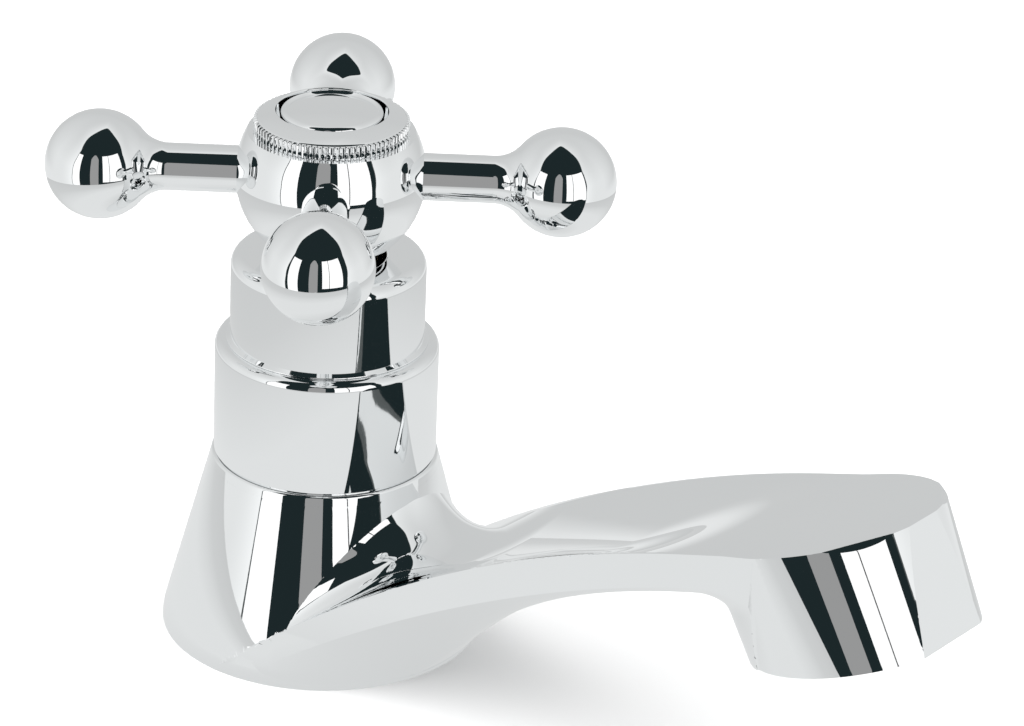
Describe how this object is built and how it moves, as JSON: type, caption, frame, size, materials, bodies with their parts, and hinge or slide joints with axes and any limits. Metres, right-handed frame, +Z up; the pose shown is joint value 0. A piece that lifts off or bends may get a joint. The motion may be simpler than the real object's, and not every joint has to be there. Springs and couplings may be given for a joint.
{
  "type": "basin pillar tap",
  "caption": "Deck-mounted basin pillar tap with a screw-down valve, a cross handle with ball ends, stepped sleeves and a long flat arched spout.",
  "frame": {"origin": "centre of the foot on the top of the basin, on the shank's axis", "axes": "+Z up along the shank and the stem, spout towards -Y, +X to the right seen from the spout's end"},
  "size_m": [0.0704, 0.15, 0.1329],
  "materials": {
    "chrome_body": "mirror chrome plate",
    "chrome_sleeve": "mirror chrome plate",
    "chrome_handle": "mirror chrome plate",
    "chrome_trim": "chrome plate",
    "seat_brass": "turned brass",
    "shank_brass": "threaded brass",
    "nut_brass": "cast and machined brass",
    "valve_brass": "machined brass",
    "stem_brass": "turned brass",
    "bush_brass": "turned brass",
    "black_rubber": "moulded rubber",
    "washer_steel": "zinc plated",
    "screen_steel": "fine stainless screen",
    "screw_steel": "plated screw",
    "aerator_plastic": "moulded plastic",
    "fibre_gasket": "pressed red fibre",
    "packing_white": "PTFE packing"
  },
  "bodies": {
    "tap": {"tap_body": "chrome_body", "valve_seat": "seat_brass", "shank": "shank_brass", "deck_gasket": "black_rubber", "rubber_washer": "black_rubber", "steel_washer": "washer_steel", "lock_nut": "nut_brass", "aerator_housing": "chrome_trim", "aerator_insert": "aerator_plastic", "aerator_screen": "screen_steel", "aerator_gasket": "black_rubber", "bonnet": "valve_brass", "bonnet_gasket": "fibre_gasket", "gland_packing": "packing_white", "gland_nut": "valve_brass", "middle_sleeve": "chrome_sleeve", "upper_sleeve": "chrome_sleeve"},
    "jumper": {"jumper_valve": "valve_brass", "seat_washer": "black_rubber", "washer_nut": "valve_brass"},
    "handle": {"stem": "stem_brass", "stem_seals": "black_rubber", "spline_bush": "bush_brass", "handle_hub": "chrome_handle", "handle_arm_1": "chrome_handle", "handle_arm_2": "chrome_handle", "handle_arm_3": "chrome_handle", "handle_arm_4": "chrome_handle", "knurled_ring": "chrome_trim", "button_cap": "chrome_handle", "handle_screw": "screw_steel"}
  },
  "joints": [
    {"name": "stem_rise", "type": "slide", "parent": "tap", "child": "jumper", "axis": [0, 0, 1], "range_m": [0, 0.00412]},
    {"name": "handle_turn", "type": "hinge", "parent": "jumper", "child": "handle", "pos_m": [0, 0, 0.0743], "axis": [0, 0, 1], "range_deg": [0, 495]}
  ],
  "couplings": [
    {"joint": "handle_turn", "follows": "stem_rise", "rad_per_m": 2094.4}
  ]
}
